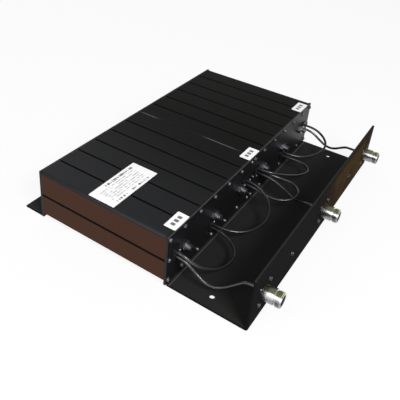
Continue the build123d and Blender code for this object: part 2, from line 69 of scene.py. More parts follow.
cable_routes = {
    "low_port_cable": [
        (-158.275, -1.6, 31.4),
        (-158.275, -9.2, 31.4),
        (-156.5, -17.2, 25.6),
        (-155.2, -25.5, 18.3),
        (-155.2, -34.0, 13.2),
        (-153.2, -42.3, 11.6),
        (-150.8, -49.2, 13.6),
        (-148.4, -56.0, 18.0),
        (-146.4, -63.0, 23.8),
        (-145.0, -70.3, 30.0),
        (-145.0, -78.5, 30.0),
    ],
    "link_cable_1": [
        (-158.275, -1.6, 36.6),
        (-158.275, -9.0, 36.6),
        (-155.9, -17.8, 30.4),
        (-149.6, -26.4, 23.0),
        (-139.5, -33.6, 17.4),
        (-127.7, -38.6, 14.6),
        (-115.0, -40.4, 13.6),
        (-103.2, -37.8, 13.8),
        (-94.2, -30.0, 14.6),
        (-89.3, -20.0, 16.4),
        (-88.325, -10.5, 18.6),
        (-88.325, -1.6, 18.6),
    ],
    "link_cable_2": [
        (-83.125, -1.6, 18.6),
        (-83.125, -11.0, 18.6),
        (-79.4, -21.5, 17.4),
        (-71.2, -31.0, 16.2),
        (-58.4, -38.6, 16.0),
        (-43.4, -42.6, 18.0),
        (-29.9, -40.2, 23.0),
        (-20.4, -33.0, 28.0),
        (-15.0, -22.5, 32.8),
        (-13.175, -11.0, 36.6),
        (-13.175, -1.6, 36.6),
    ],
    "link_cable_3": [
        (-13.175, -1.6, 31.4),
        (-13.175, -10.0, 31.4),
        (-11.6, -20.5, 27.4),
        (-10.0, -32.0, 24.8),
        (-6.4, -43.5, 24.6),
        (2.0, -52.5, 25.4),
        (14.0, -55.0, 26.0),
        (24.6, -48.8, 26.8),
        (28.8, -37.5, 27.8),
        (27.4, -27.3, 28.4),
        (23.4, -17.6, 30.6),
        (18.775, -9.0, 34.7),
        (18.775, -1.6, 34.7),
    ],
    "antenna_port_cable": [
        (19.575, -1.6, 29.4),
        (19.575, -9.0, 29.4),
        (21.2, -18.0, 26.6),
        (21.8, -27.0, 23.4),
        (20.2, -36.0, 20.2),
        (15.6, -44.6, 18.8),
        (9.8, -52.6, 20.2),
        (4.6, -61.0, 24.6),
        (0.0, -70.6, 30.0),
        (0.0, -78.5, 30.0),
    ],
    "link_cable_4": [
        (16.175, -1.6, 37.4),
        (16.175, -8.4, 37.4),
        (18.6, -16.2, 36.8),
        (25.0, -23.0, 34.0),
        (34.2, -28.2, 29.8),
        (45.4, -32.4, 25.0),
        (57.6, -36.9, 20.6),
        (70.0, -40.6, 17.6),
        (81.6, -41.0, 16.2),
        (89.8, -35.0, 16.4),
        (91.8, -25.6, 17.4),
        (89.6, -16.4, 19.0),
        (88.07, -8.8, 19.955),
        (88.07, -1.6, 19.955),
    ],
    "link_cable_5": [
        (92.956, -1.6, 21.734),
        (92.956, -8.4, 21.734),
        (96.4, -16.4, 20.2),
        (102.2, -24.4, 19.0),
        (110.8, -31.4, 18.6),
        (121.8, -37.2, 19.3),
        (133.6, -40.6, 21.2),
        (144.4, -39.4, 24.4),
        (152.0, -33.0, 27.8),
        (156.2, -25.0, 30.6),
        (158.3, -17.0, 32.4),
        (158.479, -9.0, 33.341),
        (158.479, -1.6, 33.341),
    ],
    "high_port_cable": [
        (157.398, -1.6, 28.255),
        (157.398, -8.8, 28.255),
        (159.0, -17.4, 24.2),
        (158.6, -26.2, 18.6),
        (156.6, -34.6, 15.2),
        (154.4, -42.8, 14.9),
        (152.6, -50.6, 18.0),
        (151.2, -58.0, 23.2),
        (148.8, -64.6, 27.8),
        (145.0, -71.2, 30.0),
        (145.0, -78.5, 30.0),
    ],
}

# Screw of each loop plate: direction from the tuner in degrees, then the distances along it
# and across it in millimetres
loop_screw_places = (
    (180, 9.2, 0.0),
    (270, 9.2, 0.0),
    (0, 9.2, 0.0),
    (180, 17.0, 4.0),
    (290, 8.4, 0.0),
    (348, 9.2, 0.0),
)


# Settings that a user would change

def length(name, description, default):
    """A size setting in metres."""
    return FloatProperty(
        name=name,
        description=description,
        default=default,
        min=0.0,
        subtype="DISTANCE",
        unit="LENGTH",
    )


def colour(name, description, default):
    """A colour setting."""
    return FloatVectorProperty(
        name=name,
        description=description,
        default=default,
        size=3,
        min=0.0,
        max=1.0,
        subtype="COLOR",
    )


def angle(name, description, degrees):
    """An angle setting, with its default in degrees."""
    return FloatProperty(
        name=name,
        description=description,
        default=math.radians(degrees),
        subtype="ANGLE",
        unit="ROTATION",
    )


def power(name, description, watts):
    """The power of a lamp."""
    return FloatProperty(
        name=name,
        description=description,
        default=watts,
        min=0.0,
        subtype="POWER",
        unit="POWER",
    )


def brightness(name, description, default):
    """A brightness setting."""
    return FloatProperty(name=name, description=description, default=default, min=0.0)


class DuplexerSizes(bpy.types.PropertyGroup):
    """Sizes of the pieces that are made here."""

    cable_diameter: length("Cable diameter", "Outside of the cable jackets", 3.0 * mm)
    thread_radius: length("Thread radius", "Outside of the jack threads", 7.95 * mm)
    thread_root_radius: length("Thread root radius", "Bottom of the jack threads", 7.3 * mm)
    thread_pitch: length("Thread pitch", "From one thread to the next", 1.058 * mm)
    thread_bevel: length("Thread bevel", "Bevel at each end of the nose", 0.7 * mm)
    collar_length: length("Collar length", "Plain part of the jack outside the wall", 11.6 * mm)
    neck_radius: length("Neck radius", "Groove behind the threaded nose", 6.9 * mm)
    neck_length: length("Neck length", "Width of the groove behind the nose", 1.5 * mm)
    socket_radius: length("Socket radius", "Bore around the centre contact", 4.1 * mm)
    socket_depth: length("Socket depth", "Depth of that bore", 11.0 * mm)
    mouth_radius: length("Mouth radius", "Wider opening of the bore", 5.6 * mm)
    mouth_depth: length("Mouth depth", "Depth of the wider opening", 1.6 * mm)
    bead_radius: length("Bead radius", "Bore for the white insulating bead", 2.8 * mm)
    boss_radius: length("Boss radius", "Boss behind the flange", 6.4 * mm)
    boss_rim_radius: length("Boss rim radius", "Bevelled rim of that boss", 6.2 * mm)
    flange_size: length("Flange size", "Side of the square flange", 25.4 * mm)
    flange_thickness: length("Flange thickness", "Thickness of the square flange", 3.0 * mm)
    flange_corner: length("Flange corner", "Rounding of the flange corners", 1.5 * mm)
    flange_hole_spacing: length("Flange hole spacing", "Between the flange screws", 18.2 * mm)
    flange_hole_radius: length("Flange hole radius", "Holes for the flange screws", 1.45 * mm)
    soft_edge: length("Soft edge", "Rounding of the jacks' edges", 0.25 * mm)
    loop_screw_radius: length("Loop screw radius", "Heads of the loop plate screws", 1.7 * mm)
    loop_screw_height: length("Loop screw height", "Height of those heads", 1.1 * mm)
    lathe_sides: IntProperty(
        name="Lathe sides",
        description="Sides of the turned jack bodies",
        default=72,
        min=12,
        max=256,
    )


class DuplexerColours(bpy.types.PropertyGroup):
    """Colours of the finishes."""

    # Housing and Housing far end are a lit and a shaded copy of one black: painted light that
    # falls off from the low end towards the high port
    housing: colour("Housing", "Black anodised housings", (0.0195, 0.0200, 0.0216))
    housing_far_shade: colour(
        "Housing far end", "The housings towards the high port", (0.0038, 0.0038, 0.0030)
    )
    # Painted reflection: warm surroundings mirrored in the end faces, painted as a warm tone
    end_face_reflection: colour("End face", "Warm tone of the end faces", (0.048, 0.019, 0.0105))
    # Painted highlight on the bevels at the ends of the top
    bevel: colour("Bevel", "Rubbed bevels at the ends of the top", (0.047, 0.043, 0.051))
    # Painted shade in the grooves
    groove_shade: colour("Groove", "Depth of the grooves", (0.0008, 0.0008, 0.0008))
    # Painted highlight along the seam between the housings
    seam: colour("Seam", "Rubbed edges of the seam between the housings", (0.16, 0.16, 0.17))
    plate: colour("Plate", "Front and rear plates", (0.0062, 0.0060, 0.0068))
    # Painted highlight along the top edge of the front plates
    plate_edge_highlight: colour("Plate edge", "Rubbed top edge of the front plates", (0.09, 0.09, 0.09))
    bracket: colour("Bracket", "Folded bracket and rear foot", (0.0190, 0.0190, 0.0186))
    # Painted reflection: warm tone on the jack wall towards the high port, with darker patches
    wall_warm_reflection: colour(
        "Bracket wall", "Warm tone of the jack wall towards the high port", (0.040, 0.0255, 0.0070)
    )
    bracket_patch: colour("Bracket patches", "Darker patches on it", (0.026, 0.0125, 0.0075))
    # Painted highlight: a light line on the shelf just in front of the plates
    shelf_highlight: colour("Bracket rub", "Rubbed line by the plates", (0.085, 0.083, 0.075))
    screw: colour("Screw", "Blackened steel screws", (0.15, 0.15, 0.165))
    wall_screw: colour("Wall screw", "Painted screws in the jack wall", (0.038, 0.038, 0.042))
    steel: colour("Steel", "Tuning rods and lock nuts", (0.40, 0.385, 0.43))
    silver: colour("Silver", "Plated resonators", (0.80, 0.79, 0.75))
    nickel: colour("Nickel", "Jack bodies", (0.86, 0.86, 0.85))
    # Painted reflection and shade on the jacks: a yellowish upper side and a dull lower side
    nickel_top_reflection: colour("Yellowed nickel", "Upper side of the jacks", (0.80, 0.81, 0.56))
    nickel_underside_shade: colour("Dull nickel", "Lower side of the jacks", (0.31, 0.315, 0.325))
    gold: colour("Gold", "Centre contacts", (0.83, 0.62, 0.26))
    bead: colour("Bead", "Insulating beads", (0.82, 0.82, 0.80))
    rubber: colour("Rubber", "Cable boots", (0.012, 0.012, 0.013))
    jacket: colour("Jacket", "Cable jackets", (0.008, 0.008, 0.010))
    label: colour("Label", "Label film", (0.96, 0.96, 0.96))
    ink: colour("Ink", "Dark print of the labels", (0.035, 0.035, 0.04))
    floor: colour("Floor", "Studio floor", (0.93, 0.93, 0.93))


class DuplexerStudio(bpy.types.PropertyGroup):
    """Camera and lamps."""

    lens: FloatProperty(
        name="Lens", description="Focal length in millimetres", default=49.23, min=1.0
    )
    azimuth: angle("Azimuth", "Where the camera stands round the part", -57.755)
    elevation: angle("Elevation", "How far the camera looks down", 29.241)
    roll: angle("Roll", "Lean of the camera", 4.026)
    camera_place: FloatVectorProperty(
        name="Camera place",
        description="Where the camera is",
        default=(-0.49315, -0.2003, 0.4024),
        subtype="XYZ",
        unit="LENGTH",
    )
    shift_x: FloatProperty(
        name="Shift X", description="Sideways shift of the camera", default=0.063
    )
    shift_y: FloatProperty(
        name="Shift Y", description="Upward shift of the camera", default=-0.212
    )
    horizon: brightness("Horizon", "Brightness of the surroundings near the floor", 1.0)
    ceiling: brightness("Ceiling", "Brightness of the surroundings overhead", 0.16)
    key: power("Key", "Lamp in front of the low port", 19.0)
    side: power("Side", "Lamp at the low end", 5.0)
    rear: power("Rear", "Lamp behind the rear plates", 4.0)


# Shader making

class Signal:
    """One socket of a material. Sums written with it become Math nodes."""

    def __init__(self, finish, socket):
        self.finish = finish
        self.socket = socket

    def math(self, operation, *others):
        """A Math node with this socket first."""
        return self.finish.math(operation, self, *others)

    def __add__(self, other):
        return self.math("ADD", other)

    def __sub__(self, other):
        return self.math("SUBTRACT", other)

    def __mul__(self, other):
        return self.math("MULTIPLY", other)

    def __truediv__(self, other):
        return self.math("DIVIDE", other)

    def __lt__(self, other):
        return self.math("LESS_THAN", other)

    def __gt__(self, other):
        return self.math("GREATER_THAN", other)

    def __abs__(self):
        return self.math("ABSOLUTE")

    __radd__ = __add__
    __rmul__ = __mul__


class Nodes:
    """A node tree being made."""

    def __init__(self, tree):
        self.tree = tree

    def node(self, kind, settings=None, inputs=None, output=0):
        """Add a node: its settings first, then the values or links of its sockets."""
        made = self.tree.nodes.new(kind)
        for key, value in (settings or {}).items():
            setattr(made, key, value)
        for key, value in (inputs or {}).items():
            self.feed(made.inputs[key], value)
        return Signal(self, made.outputs[output])

    def feed(self, socket, value):
        """Link a signal to a socket, or set the socket to a plain value."""
        if isinstance(value, Signal):
            self.tree.links.new(value.socket, socket)
        elif hasattr(value, "__len__") and len(value) == 3 and len(socket.default_value) == 4:
            socket.default_value = (*value, 1.0)
        else:
            socket.default_value = value

    def math(self, operation, *values):
        """A Math node."""
        return self.node("ShaderNodeMath", {"operation": operation}, dict(enumerate(values)))

    def ramp(self, value, low, high, start=0.0, end=1.0):
        """The value spread smoothly from low..high to start..end."""
        settings = {"interpolation_type": "SMOOTHSTEP"}
        inputs = {0: value, 1: low, 2: high, 3: start, 4: end}
        return self.node("ShaderNodeMapRange", settings, inputs)

    def mix(self, factor, first, second):
        """A colour between two others."""
        inputs = {0: factor, 6: first, 7: second}
        return self.node("ShaderNodeMix", {"data_type": "RGBA"}, inputs, 2)


class Finish(Nodes):
    """A material being made: its Principled shader and what feeds it."""

    def __init__(self, name):
        self.material = bpy.data.materials.new(name)
        self.material.use_nodes = True
        super().__init__(self.material.node_tree)
        self.shader = self.tree.nodes["Principled BSDF"]
        self.place = self.node("ShaderNodeTexCoord", output="Object")

    def axes(self):
        """X, Y and Z of the point, in metres."""
        return [
            self.node("ShaderNodeSeparateXYZ", None, {0: self.place}, axis) for axis in range(3)
        ]

    def noise(self, scale, detail=2.0, stretch=(1.0, 1.0, 1.0)):
        """Noise from 0 to 1, stretched along the axes."""
        settings = {"operation": "MULTIPLY"}
        spot = self.node("ShaderNodeVectorMath", settings, {0: self.place, 1: stretch})
        inputs = {"Vector": spot, "Scale": scale, "Detail": detail}
        return self.node("ShaderNodeTexNoise", None, inputs)

    def bump(self, height, distance, strength=1.0):
        """A normal from a height pattern."""
        inputs = {"Height": height, "Distance": distance, "Strength": strength}
        return self.node("ShaderNodeBump", None, inputs)

    def surface(self, **sockets):
        """Feed the shader: underscores in the names stand for spaces."""
        for name, value in sockets.items():
            self.feed(self.shader.inputs[name.replace("_", " ")], value)
        return self.material


def within(value, middle, half):
    """1 where a signal is less than half away from the middle, 0 elsewhere."""
    return abs(value - middle) < half


def scaled(tone, factor):
    """A colour made lighter or darker."""
    return tuple(factor * channel for channel in tone)


# Places on the solids that the finishes follow, in metres. A pair is where a fade begins and ends

# Where the painted light on the housings fades from the low end towards the high port
painted_light_fade_x = (-0.17, 0.03)
end_face_x = (0.1709, 0.1712)
end_face_top_z = 0.0583
end_bevel_x = 0.1689
end_bevel_z = 0.0597
bevel_light_z = (0.0617, 0.0602)
bevel_light_y = (0.15, 0.02)
port_groove_x = 0.168
port_groove_z = (0.059, 0.0619)
end_groove_z = 0.0322
end_groove_half = 0.0015
top_edge_z = 0.0612
seam_x = 0.0007
seam_half = 0.00035
# Where the painted highlight along the seam is strongest, and how fast it fades
rear_highlight_y = 0.150
rear_highlight_fade = (0.020, 0.006)
front_highlight_y = 0.045
front_highlight_fade = (0.030, 0.010)
plate_edge_y = 0.0008

jack_wall_outer_y = -0.0883
jack_wall_end_x = 0.1690
# Where the painted shade on the jack wall turns into the painted warm reflection, and how that
# reflection grows towards the foot of the wall
wall_warm_x = (-0.02, 0.06)
wall_warm_z = (0.061, 0.046)
# Place of the painted highlight line on the shelf
shelf_highlight_y = -0.0028
shelf_highlight_half = 0.00055
shelf_highlight_z = 0.0015

rod_thread_pitch = 0.0009
rod_thread_end_y = 0.038

label_face_z = 0.06212
port_label_x = (-0.147, 0.0025, 0.149)
port_print_y = 0.0079
port_print_half = (0.0088, 0.0024)
port_block_pitch = 0.0059
rating_label_x = -0.1327
rating_label_y = 0.083

# Heights above the middle of a jack, in millimetres, where its painted yellowish reflection above
# and painted shade below begin
top_reflection_rise = (5.7, 6.9)
underside_shade_rise = (4.4, 1.5)

# How much of the floor's light to the camera is its own glow
floor_glow = 0.88


def housing_finish(colours):
    """Black anodised extrusion: drawn lines along it; painted light that falls off from the low
    end, a painted reflection of warm surroundings on the end faces, painted highlights on the end
    bevels and along the seam, and painted shade in the grooves.
    """
    finish = Finish("black anodised extrusion")
    x, y, z = finish.axes()
    lines = finish.noise(1500.0, 3.0, (1.0, 0.006, 1.0))
    streaks = finish.noise(160.0, 2.0, (1.0, 0.02, 1.0))
    cloud = finish.noise(11.0, 4.0)
    # Painted light: the housings are lighter at the low end and darker towards the high port, with
    # a little random cloud mixed in
    painted_light_low_end = finish.ramp(x, *painted_light_fade_x, 1.0, 0.0)
    end = finish.ramp(abs(x), *end_face_x) * (z < end_face_top_z)
    bevel = (abs(x) > end_bevel_x) * (z > end_bevel_z)
    near = painted_light_low_end * 0.8 + cloud * 0.2
    shade = finish.mix(near, tuple(colours.housing_far_shade), tuple(colours.housing))
    # Painted reflection: warm tone on the end faces
    tone = finish.mix(end, shade, tuple(colours.end_face_reflection))
    # Painted highlight on the end bevels, brightest low on the bevel and towards the front, broken
    # up by streaks
    lit = finish.ramp(z, *bevel_light_z) * finish.ramp(y, *bevel_light_y, 0.25, 0.75)
    tone = finish.mix(bevel * lit * (0.4 + streaks), tone, tuple(colours.bevel))
    # Painted shade: near black in the grooves along the top and the band just under it, and in the
    # V-cut across each end face; these are also made rougher
    groove_foot, groove_top = port_groove_z
    port_groove = (abs(x) < port_groove_x) * (z < groove_top) * (z > groove_foot)
    groove_shade = port_groove + within(z, end_groove_z, end_groove_half) * 0.85
    tone = finish.mix(groove_shade, tone, tuple(colours.groove_shade))
    # Painted highlight along the seam between the housings on the top, strongest at two places
    # along it
    rear_highlight = finish.ramp(abs(y - rear_highlight_y), *rear_highlight_fade)
    painted_highlight = rear_highlight + finish.ramp(abs(y - front_highlight_y), *front_highlight_fade)
    seam_highlight_mask = within(abs(x), seam_x, seam_half) * (z > top_edge_z) * (0.1 + 0.5 * painted_highlight)
    tone = finish.mix(seam_highlight_mask, tone, tuple(colours.seam))
    roughness = 0.30 + lines * 0.14 + cloud * 0.10 + groove_shade * 0.4
    normal = finish.bump(lines + streaks * 0.6, 0.00002, 0.5)
    return finish.surface(
        Base_Color=tone, Roughness=roughness, Normal=normal, Specular_IOR_Level=0.05
    )


def plate_finish(colours):
    """Black plate with faint tumbling marks and a painted highlight along its top edge."""
    finish = Finish("black plate")
    x, y, z = finish.axes()
    speckle = finish.noise(2200.0, 2.0)
    cloud = finish.noise(24.0, 3.0)
    tone = finish.mix(cloud * 0.7, tuple(colours.plate), scaled(colours.plate, 1.8))
    # Painted highlight along the top edge of the front plates, broken up along its length
    edge = finish.noise(90.0, 3.0, (1.0, 0.0, 0.0))
    painted_highlight = (z > top_edge_z) * (y < plate_edge_y) * (0.3 + 0.6 * edge)
    tone = finish.mix(painted_highlight, tone, tuple(colours.plate_edge_highlight))
    normal = finish.bump(speckle, 0.00002, 0.4)
    roughness = 0.34 + speckle * 0.16
    return finish.surface(
        Base_Color=tone, Roughness=roughness, Normal=normal, Specular_IOR_Level=0.16
    )


def bracket_finish(colours):
    """Black painted sheet: painted shade on the jack wall and the sheet's ends towards the low
    end, a painted reflection of warm surroundings on the wall towards the high port, and a painted
    highlight line on the shelf by the plates.
    """
    finish = Finish("black sheet")
    x, y, z = finish.axes()
    peel = finish.noise(420.0, 2.0)
    cloud = finish.noise(15.0, 4.0)
    # Painted shade on the jack wall's outer face and the sheet's ends towards the low end; towards
    # the high port and the foot of the wall it turns into a painted reflection of warm
    # surroundings, with darker patches
    outside = finish.math("MAXIMUM", y < jack_wall_outer_y, abs(x) > jack_wall_end_x)
    tone = finish.mix(cloud * 0.6, tuple(colours.bracket), scaled(colours.bracket, 1.5))
    patches = finish.ramp(finish.noise(26.0, 3.0), 0.42, 0.62)
    warm = finish.mix(patches, tuple(colours.wall_warm_reflection), tuple(colours.bracket_patch))
    spread = finish.ramp(x, *wall_warm_x) * finish.ramp(z, *wall_warm_z, 0.25, 1.0)
    wall = finish.mix(spread, scaled(colours.bracket, 0.36), warm)
    tone = finish.mix(outside, tone, wall)
    # Painted highlight: a light line on the shelf just in front of the plates
    painted_highlight = within(y, shelf_highlight_y, shelf_highlight_half) * (z > shelf_highlight_z)
    tone = finish.mix(painted_highlight, tone, tuple(colours.shelf_highlight))
    normal = finish.bump(peel, 0.00002, 0.35)
    roughness = 0.40 + cloud * 0.12 + outside * 0.6
    return finish.surface(
        Base_Color=tone, Roughness=roughness, Normal=normal, Specular_IOR_Level=0.03
    )


def screw_finish(name, tone):
    """Blackened steel, scuffed brighter in places."""
    finish = Finish(name)
    rub = finish.noise(900.0, 3.0)
    tone = finish.mix(finish.ramp(rub, 0.45, 0.7), scaled(tone, 0.45), scaled(tone, 2.2))
    normal = finish.bump(rub, 0.00002, 0.4)
    roughness = 0.26 + rub * 0.2
    return finish.surface(Base_Color=tone, Metallic=0.9, Roughness=roughness, Normal=normal)


def rod_finish(colours):
    """Steel rod with its thread."""
    finish = Finish("threaded steel rod")
    x, y, z = finish.axes()
    across = x - (finish.math("FLOOR", x / cavity_pitch) + 0.5) * cavity_pitch
    turn = finish.math("ARCTAN2", z - tuner_height, across) / (2 * math.pi)
    thread = finish.math("PINGPONG", y / rod_thread_pitch + turn, 0.5) * (y < rod_thread_end_y)
    grime = finish.noise(600.0, 3.0)
    # Painted shade and highlight: darker in the roots of the thread, lighter on its crests
    tone = finish.mix(thread * 1.4, scaled(colours.steel, 0.45), tuple(colours.steel))
    normal = finish.bump(thread, 0.00030, 0.7)
    roughness = 0.30 + grime * 0.2
    return finish.surface(Base_Color=tone, Metallic=1.0, Roughness=roughness, Normal=normal)


def nut_finish(colours):
    """Plated steel nut with milling marks."""
    finish = Finish("plated steel nut")
    marks = finish.noise(1800.0, 2.0, (1.0, 0.1, 1.0))
    cloud = finish.noise(220.0, 2.0)
    tone = finish.mix(cloud, scaled(colours.steel, 0.7), scaled(colours.steel, 1.25))
    normal = finish.bump(marks, 0.00003, 0.5)
    roughness = 0.22 + marks * 0.2
    return finish.surface(Base_Color=tone, Metallic=1.0, Roughness=roughness, Normal=normal)


def plated_finish(name, tone, roughness):
    """Plated metal with fine turning marks and a little tarnish."""
    finish = Finish(name)
    marks = finish.noise(2600.0, 2.0, (0.15, 1.0, 0.15))
    tarnish = finish.noise(180.0, 3.0)
    shade = finish.mix(finish.ramp(tarnish, 0.35, 0.75), tuple(tone), scaled(tone, 0.80))
    normal = finish.bump(marks, 0.00001, 0.4)
    roughness = roughness + marks * 0.10
    return finish.surface(Base_Color=shade, Metallic=1.0, Roughness=roughness, Normal=normal)


def nickel_finish(colours):
    """Nickel plate on the jacks: turning marks, a painted yellowish reflection on the upper side
    and painted shade on the lower side.
    """
    finish = Finish("nickel plate")
    x, y, z = finish.axes()
    marks = finish.noise(2600.0, 2.0, (0.15, 1.0, 0.15))
    tarnish = finish.noise(180.0, 3.0)
    # Painted reflection and shade: yellowish above the middle of each jack and dull below it; the
    # tarnish noise here only makes the edge between them blotchy
    rise = (z - jack_height) / mm + (tarnish - 0.5) * 1.5
    top_reflection = finish.ramp(rise, *top_reflection_rise)
    tone = finish.mix(top_reflection, tuple(colours.nickel), tuple(colours.nickel_top_reflection))
    tone = finish.mix(finish.ramp(rise, *underside_shade_rise), tone, tuple(colours.nickel_underside_shade))
    normal = finish.bump(marks, 0.00001, 0.4)
    roughness = 0.16 + marks * 0.10
    return finish.surface(Base_Color=tone, Metallic=1.0, Roughness=roughness, Normal=normal)


def loop_finish(colours):
    """Black plated loop plate."""
    finish = Finish("black loop plate")
    grain = finish.noise(1500.0, 3.0)
    tone = finish.mix(grain * 0.6, tuple(colours.plate), scaled(colours.plate, 2.5))
    normal = finish.bump(grain, 0.00003, 0.5)
    roughness = 0.30 + grain * 0.2
    return finish.surface(
        Base_Color=tone, Roughness=roughness, Normal=normal, Specular_IOR_Level=0.35
    )


def moulded_finish(name, tone, roughness, grain_height, specular=0.5):
    """Moulded rubber or plastic with a fine grain."""
    finish = Finish(name)
    grain = finish.noise(3200.0, 2.0)
    cloud = finish.noise(150.0, 2.0)
    light = tuple(min(1.0, channel) for channel in scaled(tone, 1.1))
    shade = finish.mix(cloud, scaled(tone, 0.85), light)
    normal = finish.bump(grain, grain_height, 0.6)
    roughness = roughness + grain * 0.12
    return finish.surface(
        Base_Color=shade, Roughness=roughness, Normal=normal, Specular_IOR_Level=specular
    )


def label_film(finish, colours, ink):
    """White film with its print as a mask."""
    grain = finish.noise(2500.0, 2.0)
    film = finish.mix(grain * 0.10, tuple(colours.label), scaled(colours.label, 0.9))
    tone = finish.mix(ink, film, tuple(colours.ink))
    normal = finish.bump(grain, 0.00001, 0.3)
    roughness = 0.42 + grain * 0.1
    return finish.surface(
        Base_Color=tone, Roughness=roughness, Normal=normal, Specular_IOR_Level=0.3
    )


def port_label_finish(colours):
    """Port labels: three short dark blocks on each."""
    finish = Finish("port label film")
    x, y, z = finish.axes()
    half_x, half_y = port_print_half
    ink = 0.0
    for centre in port_label_x:
        place = (x - centre) / port_block_pitch + 0.5
        blocks = finish.math("PINGPONG", place, 0.5) > 0.17
        ink = ink + within(x, centre, half_x) * blocks
    ink = ink * within(y, port_print_y, half_y) * (z > label_face_z)
    return label_film(finish, colours, ink * 0.85)


def rating_label_finish(colours):
    """Rating label: a bold row at each long side and grey rows of broken lines between."""
    finish = Finish("rating label film")
    x, y, z = finish.axes()
    along = (x - rating_label_x) / mm
    across = (y - rating_label_y) / mm
    top_row = within(across, 12.0, 1.5) * within(along, 6.5, 21.5)
    bottom_row = within(across, -12.6, 1.2) * within(along, -1.0, 26.0)
    letters = finish.noise(430.0, 1.0, (1.0, 0.0, 0.0))
    words = finish.noise(90.0, 1.0, (1.0, 0.0, 0.0)) > 0.42
    bold = top_row * (letters > 0.485) + bottom_row * (letters > 0.50) * words
    rows = finish.math("PINGPONG", across / 3.1, 0.5) > 0.27
    broken = finish.ramp(finish.noise(240.0, 3.0, (1.0, 1.6, 0.0)), 0.42, 0.56)
    grey = rows * broken * (abs(across) < 9.0) * within(along, -1.0, 27.0)
    ink = bold * 0.85 + grey * 0.50
    return label_film(finish, colours, ink * (z > label_face_z))


def floor_finish(colours):
    """Pale floor: white to the camera where nothing shades it."""
    finish = Finish("studio floor")
    dust = finish.noise(30.0, 2.0)
    tone = finish.mix(dust * 0.05, tuple(colours.floor), scaled(colours.floor, 0.96))
    finish.surface(Base_Color=tone, Roughness=0.9, Specular_IOR_Level=0.0)
    path = finish.node("ShaderNodeLightPath", output="Is Camera Ray")
    mirror = finish.node("ShaderNodeLightPath", output="Is Glossy Ray")
    through = finish.node("ShaderNodeLightPath", output="Is Transmission Ray")
    seen = finish.math("MINIMUM", path + mirror + through, 1.0)
    white = {"Color": (1.0, 1.0, 1.0, 1.0), "Strength": 1.0}
    glow = finish.node("ShaderNodeEmission", None, white)
    plain_floor = Signal(finish, finish.shader.outputs[0])
    inputs = {0: seen * floor_glow, 1: plain_floor, 2: glow}
    blend = finish.node("ShaderNodeMixShader", None, inputs)
    output = finish.tree.nodes["Material Output"]
    finish.tree.links.new(blend.socket, output.inputs["Surface"])
    return finish.material


# Modelling

facing_y = (math.pi / 2, 0, 0)
doubles_distance = 1e-6
smooth_angle = math.radians(32)
flange_hole_sides = 24
flange_hole_depth = 10.0 * mm
screw_head_sides = 28


def deselect():
    """Leave nothing selected."""
    if bpy.context.mode != "OBJECT":
        bpy.ops.object.mode_set(mode="OBJECT")
    bpy.ops.object.select_all(action="DESELECT")


def pick(kind, test):
    """In edit mode, select only the faces or edges that the test holds for."""
    bpy.ops.mesh.select_mode(type=kind)
    bpy.ops.mesh.select_all(action="DESELECT")
    mesh = bpy.context.edit_object.data
    work = bmesh.from_edit_mesh(mesh)
    for part in work.faces if kind == "FACE" else work.edges:
        part.select_set(test(part))
    bmesh.update_edit_mesh(mesh)


def runs_along(edge, axis):
    """Whether an edge runs along one axis."""
    step = edge.verts[1].co - edge.verts[0].co
    return abs(step[axis]) > 0.99 * step.length


def close_up():
    """Merge doubles and point the faces outwards."""
    bpy.ops.mesh.select_mode(type="VERT")
    bpy.ops.mesh.select_all(action="SELECT")
    bpy.ops.mesh.remove_doubles(threshold=doubles_distance)
    bpy.ops.mesh.normals_make_consistent(inside=False)
    bpy.ops.object.mode_set(mode="OBJECT")


def settle(piece, material):
    """Put a finished piece's place in its mesh, smooth it and give it its finish."""
    deselect()
    piece.select_set(True)
    bpy.context.view_layer.objects.active = piece
    bpy.ops.object.transform_apply(location=True, rotation=True, scale=True)
    bpy.ops.object.shade_smooth_by_angle(angle=smooth_angle)
    piece.data.materials.clear()
    piece.data.materials.append(material)


def cut_away(piece, cutter):
    """Cut one object out of another and remove the cutter."""
    deselect()
    piece.select_set(True)
    bpy.context.view_layer.objects.active = piece
    bpy.ops.object.modifier_add(type="BOOLEAN")
    cut = piece.modifiers[-1]
    cut.operation = "DIFFERENCE"
    cut.object = cutter
    bpy.ops.object.modifier_apply(modifier=cut.name)
    bpy.data.objects.remove(cutter)


def join(pieces, name):
    """Join objects into the first one."""
    deselect()
    for piece in pieces:
        piece.select_set(True)
    bpy.context.view_layer.objects.active = pieces[0]
    bpy.ops.object.join()
    pieces[0].name = name
    pieces[0].data.name = name
    return pieces[0]


def turned(centre_x, centre_z, rings, sides):
    """A closed turned shape from rings of radius and Y, the last one meeting the first."""
    deselect()
    radius, y = rings[0]
    place = (centre_x, y, centre_z)
    bpy.ops.mesh.primitive_circle_add(
        vertices=sides, radius=radius, location=place, rotation=facing_y
    )
    bpy.ops.object.mode_set(mode="EDIT")
    bpy.ops.mesh.select_mode(type="EDGE")
    bpy.ops.mesh.select_all(action="SELECT")
    for next_radius, next_y in rings[1:] + rings[:1]:
        bpy.ops.mesh.extrude_region_move(TRANSFORM_OT_translate={"value": (0, next_y - y, 0)})
        grow = next_radius / radius
        if abs(grow - 1) > 1e-9:
            middle = (centre_x, next_y, centre_z)
            bpy.ops.transform.resize(value=(grow, 1, grow), center_override=middle)
        radius, y = next_radius, next_y
    close_up()
    return bpy.context.active_object


def ridge_rings(start, end, sizes):
    """Rings of the threads between two Y places."""
    crest_start, crest_end, root_start = 0.36, 0.58, 0.92
    pitch = sizes.thread_pitch
    count = int((start - end) / pitch)
    first = start - ((start - end) - count * pitch) / 2
    rings = []
    for k in range(count):
        y = first - k * pitch
        rings += [
            (sizes.thread_root_radius, y),
            (sizes.thread_radius, y - crest_start * pitch),
            (sizes.thread_radius, y - crest_end * pitch),
            (sizes.thread_root_radius, y - root_start * pitch),
        ]
    return rings


